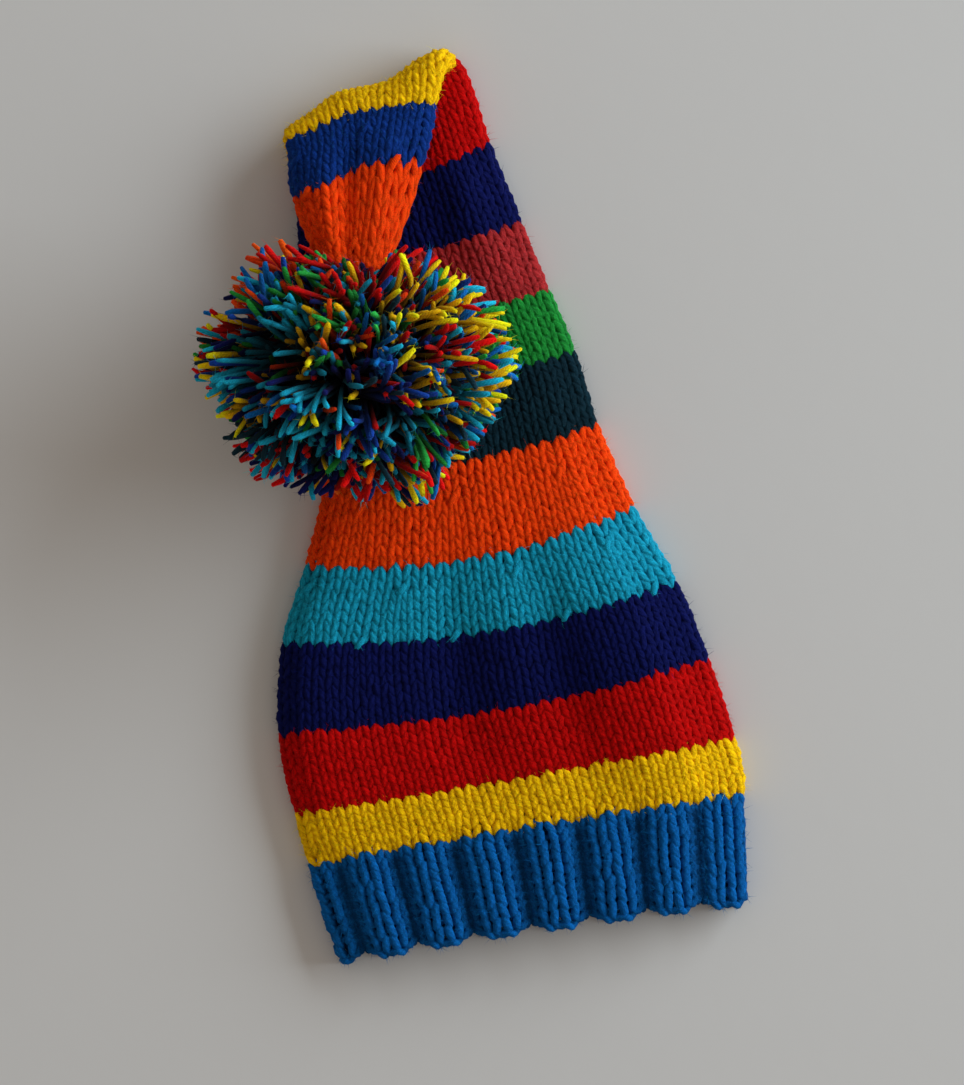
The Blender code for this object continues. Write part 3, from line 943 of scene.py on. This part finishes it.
bpy.ops.object.select_all(action="DESELECT")
bpy.ops.mesh.primitive_cylinder_add(
    vertices=STRAND_SIDES, radius=1, depth=1, end_fill_type="TRIFAN", location=(0, 0, 0.5)
)
cut_strand = bpy.context.object
bpy.ops.object.transform_apply()
bpy.ops.object.mode_set(mode="EDIT")
for height in CUTS:
    bpy.ops.mesh.select_all(action="SELECT")
    bpy.ops.mesh.bisect(plane_co=(0, 0, height), plane_no=(0, 0, 1))
bpy.ops.object.mode_set(mode="OBJECT")
for corner in cut_strand.data.uv_layers.active.data:
    corner.uv = ((corner.uv[1] - 0.5) * 2, corner.uv[0])
print("one strand has", len(cut_strand.data.polygons), "faces")
shape = copies(cut_strand, STRANDS)
along = shape[:, 2]

# %% [markdown]
# The strands spread from the tie in all directions, evenly like seeds in a sunflower. Those that were wound
# together lean together in tufts, and the tufts part into bunches with dark gaps between them. All this is
# worked out on a ball of radius 1, which is then stretched to the pompom's egg shape.

# %% Directions and lengths of the strands
POMPOM_RADII = np.array((0.124, 0.099, 0.092)) / 2
POMPOM_TURN = math.radians(-13)
POMPOM_AT = (-0.236 * BRIM_WIDTH, 0.659 * HAT_LENGTH, 0)
POMPOM_TOP = 0.97  # half heights from the middle up to the top of the CAD's pompom
TUFTS = 170
TUFT_PULL = 0.5  # how much strands follow their tuft
TUFT_LEAN = 0.24  # how far tufts lean out of the straight line from the tie
STRAND_LEAN = 0.16  # and each strand out of its tuft
BUNCHES = 14
BUNCH_PULL = 0.16  # how much tufts, and then strands, follow their bunch
TUFT_STRAY, BUNCH_STRAY, STRAND_STRAY = 0.10, 0.15, 0.04  # how far each is moved from its even direction
LENGTH, SHORTEST, LONGEST = 0.89, 0.60, 1.04  # of a strand, beside the plain egg shape
TUFT_UNEVEN, STRAND_UNEVEN = 0.07, 0.10  # how uneven the lengths of tufts are, and of strands in a tuft
REACHES = (
    # way in degrees, how far the strands reach beside the plain egg shape. The tip lies over the short ones.
    (7, 1.01),
    (26, 0.94),
    (41, 0.94),
    (55, 1.00),
    (65, 0.86),
    (79, 0.79),
    (96, 0.84),
    (106, 0.96),
    (118, 1.08),
    (133, 0.96),
    (157, 0.95),
    (171, 0.94),
    (193, 0.90),
    (221, 1.01),
    (254, 0.99),
    (278, 1.02),
    (293, 1.05),
    (306, 0.88),
    (324, 0.87),
    (336, 0.91),
    (351, 1.00),
)
pompom_low, pompom_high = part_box("pompom")
pompom_middle = np.array(POMPOM_AT) - ORIGIN
pompom_middle[2] = pompom_high[2] - POMPOM_TOP * POMPOM_RADII[2]


def sunflower(count, stray):
    """Directions spread evenly over a ball, each then moved a little by chance."""
    i = np.arange(count) + 0.5
    height = 1 - 2 * i / count
    angle = i * math.pi * (3 - math.sqrt(5))
    wide = np.sqrt(1 - height**2)
    even = np.stack((wide * np.cos(angle), wide * np.sin(angle), height), axis=-1)
    return unit(even + chance.normal(size=even.shape) * stray)


def stretched(rays):
    """Rays of a ball of radius 1, made as wide, deep and high as the pompom, and turned as it lies."""
    x, y, z = np.moveaxis(rays * POMPOM_RADII, -1, 0)
    cos, sin = math.cos(POMPOM_TURN), math.sin(POMPOM_TURN)
    return pompom_middle + np.stack((x * cos - y * sin, x * sin + y * cos, z), axis=-1)


tufts = sunflower(TUFTS, TUFT_STRAY)
tuft_lean = unit(tufts + chance.normal(size=tufts.shape) * TUFT_LEAN)
tuft_length = chance.normal(1, TUFT_UNEVEN, TUFTS)
bunches = sunflower(BUNCHES, BUNCH_STRAY)
rays = sunflower(STRANDS, STRAND_STRAY)
tuft = (rays @ tufts.T).argmax(1)
bunch = bunches[(tufts @ bunches.T).argmax(1)]  # the bunch that each tuft belongs to
tuft_lean = unit(tuft_lean + BUNCH_PULL * (bunch - tuft_lean))
tips = unit(rays + TUFT_PULL * (tuft_lean[tuft] - rays) + chance.normal(size=rays.shape) * STRAND_LEAN)
tips = unit(tips + BUNCH_PULL * (bunch[tuft] - tips))
lengths = np.clip(LENGTH * tuft_length[tuft] * chance.normal(1, STRAND_UNEVEN, STRANDS), SHORTEST, LONGEST)
out = stretched(tips) - pompom_middle
way = np.degrees(np.arctan2(out[:, 1], out[:, 0]))
lengths *= 1 + (np.interp(way, *zip(*REACHES), period=360) - 1) * (1 - tips[:, 2] ** 2)
print("strands reach from", round(lengths.min(), 2), "to", round(lengths.max(), 2), "of the egg shape")

# %% [markdown]
# Each strand is a curve of three points: its root near the tie, a middle further out, and its cut end, which
# sinks a little under its own weight. Where a strand would go into the hat or the floor it is pushed up on to
# it, as happens to the real one. What lies below is kept as a map of heights.

# %% A path for every strand
ROOT, MIDDLE_OUT = 0.4, 0.70  # how far out root and middle lie, as shares of the radius and of the length
MIDDLE_BEND, MIDDLE_STRAY = 0.1, 0.05  # how far the middle leans towards the end, and strays by chance
SAG = 0.05  # how far the ends sink, as a share of the radius
CELL = 0.004  # metres, the side of one cell of the map
MAP_CELLS = 140  # cells along each side of the map
PRESS_ROOM = 0.0014  # metres that a strand's middle keeps above what it lies on

roots = rays * ROOT
middles = unit(rays + MIDDLE_BEND * (tips - rays)) * (MIDDLE_OUT * lengths)[:, None]
middles = middles + chance.normal(size=rays.shape) * MIDDLE_STRAY
ends = tips * lengths[:, None] - np.array((0, 0, SAG))
t = along[None, :, None]
path = roots[:, None] * (1 - t) ** 2 + 2 * t * (1 - t) * middles[:, None] + t**2 * ends[:, None]
run = 2 * (1 - t) * (middles - roots)[:, None] + 2 * t * (ends - middles)[:, None]
middle = stretched(path)
run = unit(stretched(run) - pompom_middle)


def cell(points):
    """The place on the map of each point."""
    return tuple(np.moveaxis((points[..., :2] / CELL).astype(int), -1, 0) + MAP_CELLS // 2)


surface_rows, surface_shares = np.meshgrid(np.linspace(0, 15, 500), np.linspace(0, 1, 240))
surface = skin(surface_rows.ravel(), surface_shares.ravel(), np.zeros(surface_rows.size))
heights = np.zeros((MAP_CELLS, MAP_CELLS))
np.maximum.at(heights, cell(surface), surface[:, 2])
middle[..., 2] = np.maximum(middle[..., 2], heights[cell(middle)] + PRESS_ROOM)
print("the hat under the pompom is", in_mm([heights[cell(middle)].max()]), "mm high")

# %% Bend every copy along its path
STRAND_RADIUS = 0.00102
BLUNT = ((0, *CUTS[1:], 1), (0.8, 0.95, 1.12, 0.78))  # shares of the length, and how thick the strand is
THICK_UNEVEN, ROUND_UNEVEN = 0.10, 0.06  # how uneven that is from strand to strand, and round one strand
END_BULGE = 0.4  # radii that the middle of a cut end stands out

beside = unit(np.cross(run, unit(chance.normal(size=(STRANDS, 1, 3)))))
other = np.cross(run, beside)
centre = (np.hypot(shape[:, 0], shape[:, 1]) < 0.01) & (along > 0.99)
fray = STRAND_RADIUS * chance.normal(1, THICK_UNEVEN, (STRANDS, 1)) * np.interp(along, *BLUNT)
fray = fray * chance.normal(1, ROUND_UNEVEN, (STRANDS, len(along)))
middle += (run * centre[None, :, None]) * STRAND_RADIUS * END_BULGE
points = middle + fray[..., None] * (shape[None, :, 0, None] * beside + shape[None, :, 1, None] * other)
move_points(cut_strand, points.reshape(-1, 3))
print("pompom in mm", in_mm((*points.min((0, 1)), *points.max((0, 1)))))
print("and its CAD box", in_mm((*pompom_low, *pompom_high)))

# %% [markdown]
# The pompom is wound from the hat's own leftover yarns. Most strands of a tuft are alike, because they were
# wound from one yarn. They look darker near the tie, where little light comes in, and lighter at their frayed
# ends.

# %% Colour the strands
MIX = (
    # yarn, share of the strands
    ("turquoise", 0.20),
    ("blue", 0.10),
    ("royal blue", 0.09),
    ("red", 0.15),
    ("yellow", 0.15),
    ("green", 0.11),
    ("orange", 0.08),
    ("navy", 0.06),
    ("pine", 0.06),
)
ALIKE = 0.55  # share of the strands that have their tuft's colour
TONES = 0.2  # how much strands of one yarn differ in lightness
END_LIGHT = 1.5
FRAYED = 0.92  # share of a strand's length past which it is frayed
# IN_BALL is painted shade: strands are painted darker towards the tie, where little light comes in.
IN_BALL = ((0.60, 0.82, 0.96), (0.06, 0.45, 1.0))  # places between tie and outside, and how light they are

shades = np.array([linear(YARNS[name]) for name, share in MIX])
shares = np.array([share for name, share in MIX]) / sum(share for name, share in MIX)
tuft_shade = chance.choice(len(MIX), TUFTS, p=shares)
own_shade = chance.choice(len(MIX), STRANDS, p=shares)
shade = np.where(chance.random(STRANDS) < ALIKE, tuft_shade[tuft], own_shade)
lighter = np.interp(np.linalg.norm(path, axis=-1), *IN_BALL) * np.where(along > FRAYED, END_LIGHT, 1)
lighter = lighter * np.clip(chance.normal(1, TONES, (STRANDS, 1)), 0.5, 1.5)
paint(cut_strand, np.repeat(shades[shade], len(shape), axis=0), lighter)
for number, (name, share) in enumerate(MIX):
    print(name, (shade == number).sum(), "strands")

# %% Finish the pompom
POMPOM_HAIRS = 9500
HAIRS_FROM = 0.7  # share of a strand's length past which fibres start

face_out(cut_strand)
bpy.ops.object.shade_smooth()
cut_strand.name = "cut_yarn_pompom"
outer = np.flatnonzero(np.tile(along > HAIRS_FROM, STRANDS))
mixed = yarn("worsted acrylic yarn, mixed leftovers", "#808080", CUT_TWISTS)
dress(cut_strand, "pompom", mixed, outer, POMPOM_HAIRS)

# %% [markdown]
# ## Floor and light
# The hat lies on a plain pale floor of matt backdrop paper, with the fine grain that pulp leaves. One large
# soft light stands to the right and a little towards the tail, so that every rib and stitch throws its small
# shadow to the left, and a dim even sky fills the rest.

# %% Floor
FLOOR_GREY = "#D2D2D0"

paper = bpy.data.materials.new("matt backdrop paper")
paper.use_nodes = True
tree = paper.node_tree
grain = add_node(tree, "ShaderNodeTexNoise", {"Scale": 900.0, "Detail": 2.0})
felt = add_node(tree, "ShaderNodeBump", {"Strength": 0.15, "Distance": 0.0003}, {"Height": grain.outputs[0]})
shader = tree.nodes["Principled BSDF"]
shader.inputs["Base Color"].default_value = linear(FLOOR_GREY)
shader.inputs["Roughness"].default_value = 0.85
shader.inputs["Specular IOR Level"].default_value = 0.2
tree.links.new(felt.outputs[0], shader.inputs["Normal"])

bpy.ops.object.select_all(action="DESELECT")
bpy.ops.mesh.primitive_plane_add(size=12)
floor = bpy.context.object
floor.name = "floor"
floor.data.materials.append(paper)
print("floor in mm", in_mm(floor.dimensions))

# %% Light and sky
LIGHT_WIDTH, LIGHT_HEIGHT = 3.0, 1.6
LIGHT_POWER = 104
LIGHT_AT = (2.55, 0.64, 0.98)
LIGHT_COLOUR = (0.80, 0.90, 0.98)  # daylight from a window, cooler than the room
SKY = 0.36
SKY_COLOUR = (1.0, 0.88, 0.78, 1.0)

bpy.ops.object.select_all(action="DESELECT")
bpy.ops.object.light_add(type="AREA", location=LIGHT_AT)
light = bpy.context.object
light.data.shape = "RECTANGLE"
light.data.size = LIGHT_WIDTH
light.data.size_y = LIGHT_HEIGHT
light.data.energy = LIGHT_POWER
light.data.color = LIGHT_COLOUR
towards = np.array(VIEW_CENTRE) - np.array(LIGHT_AT)
tilt = math.acos(-towards[2] / np.linalg.norm(towards))
light.rotation_euler = (tilt, 0, math.atan2(towards[1], towards[0]) - math.pi / 2)
print("the light shines down at", round(90 - math.degrees(tilt)), "degrees")

sky = bpy.data.worlds.new("studio sky")
sky.use_nodes = True
sky.node_tree.nodes["Background"].inputs["Color"].default_value = SKY_COLOUR
sky.node_tree.nodes["Background"].inputs["Strength"].default_value = SKY
bpy.context.scene.world = sky
